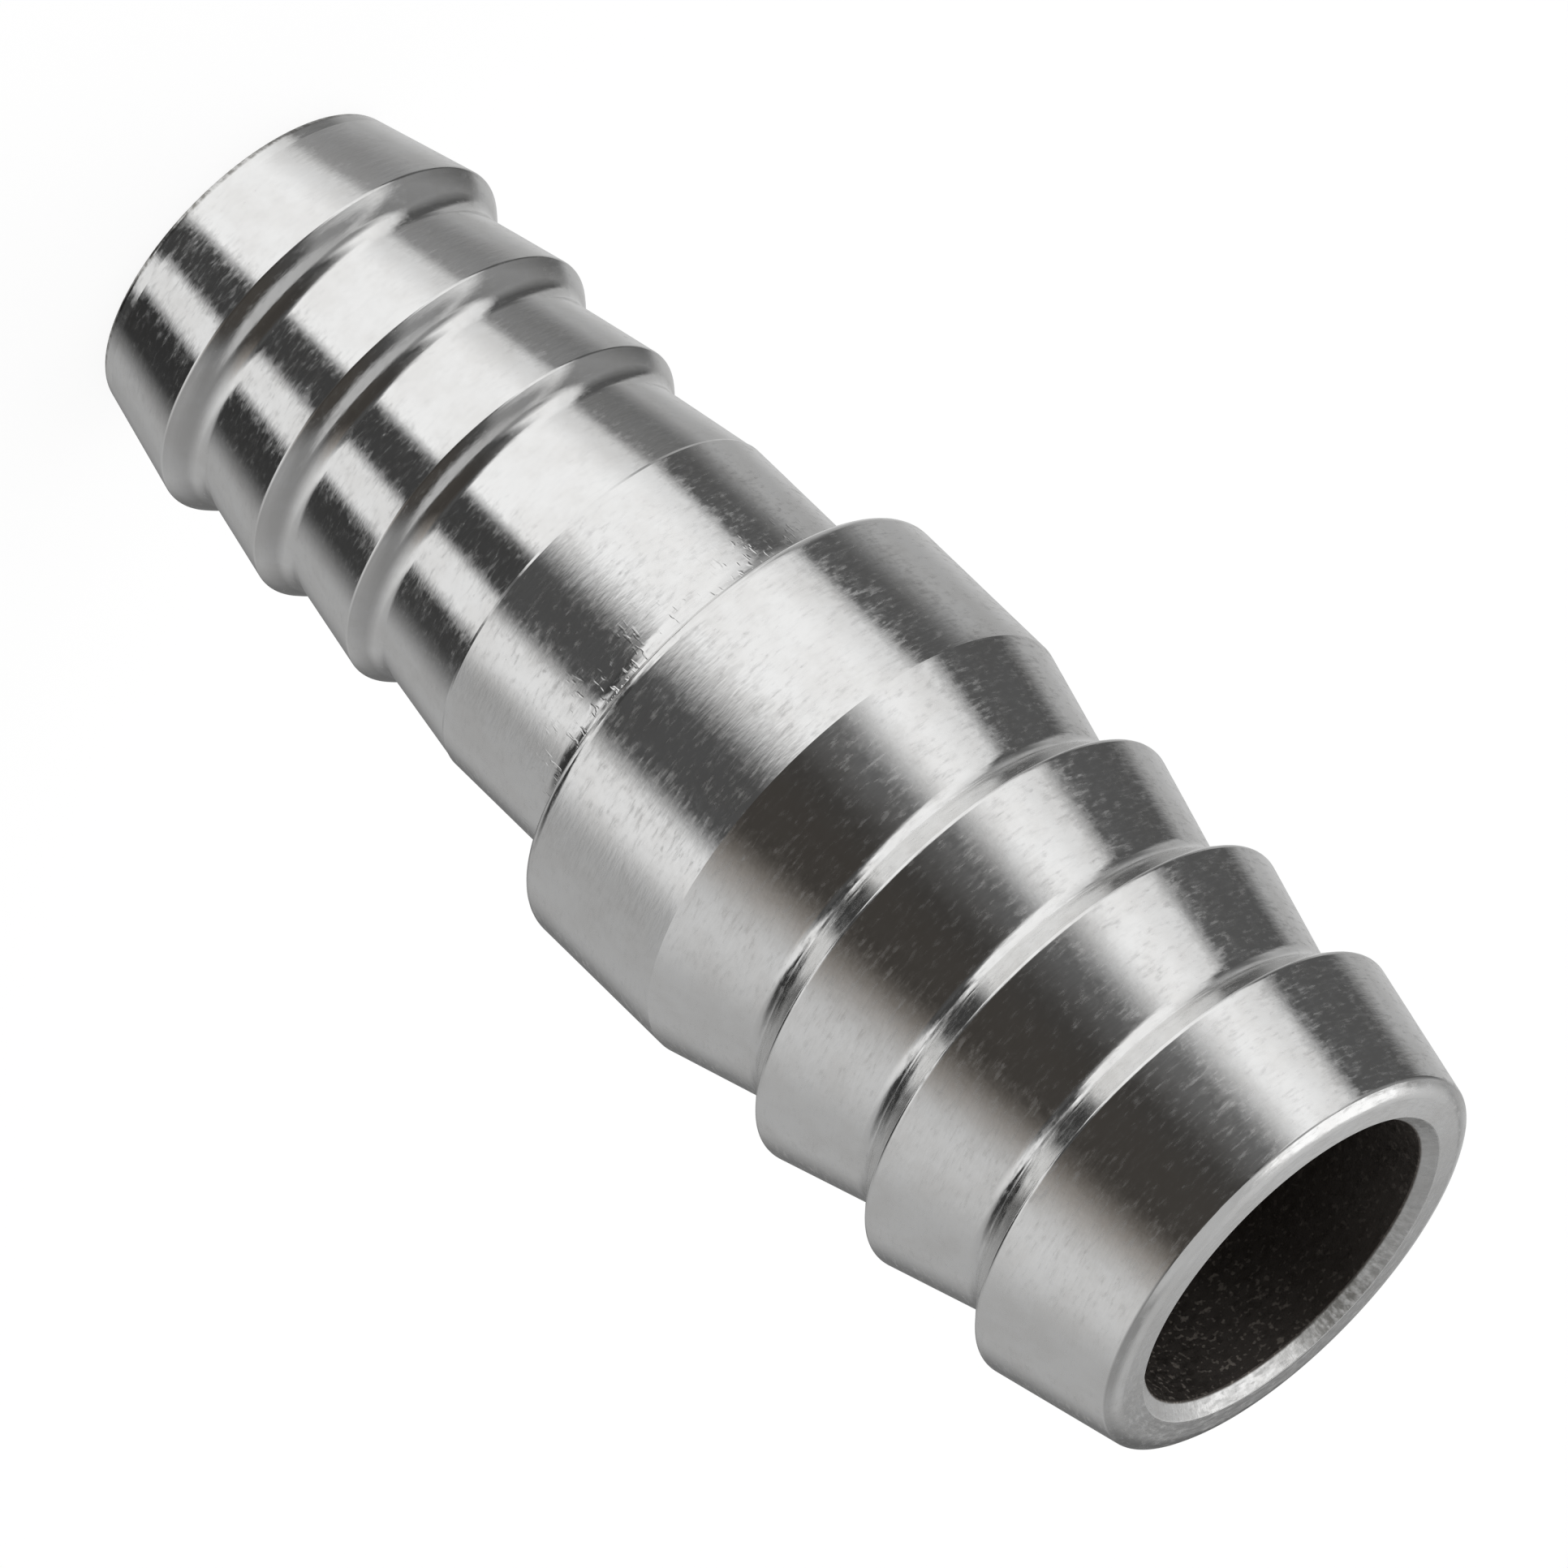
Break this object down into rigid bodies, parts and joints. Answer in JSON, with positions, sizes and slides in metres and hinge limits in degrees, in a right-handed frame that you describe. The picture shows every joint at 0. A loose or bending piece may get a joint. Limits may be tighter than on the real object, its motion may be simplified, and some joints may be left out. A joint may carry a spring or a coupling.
{
  "type": "straight hose connector",
  "caption": "Straight reducing hose connector: a turned metal tube with a barbed tail at each end, a plain neck and a collar between them, and a stepped bore right through.",
  "frame": {"origin": "centre of the small end face, which the part stands on", "axes": "+Z along the bore axis, from the small mouth up to the large mouth"},
  "size_m": [0.0211, 0.021, 0.06],
  "materials": {
    "turned_steel": "bright turned stainless steel with fine rings from the lathe"
  },
  "bodies": {
    "root": {"connector_body": "turned_steel"}
  },
  "joints": []
}
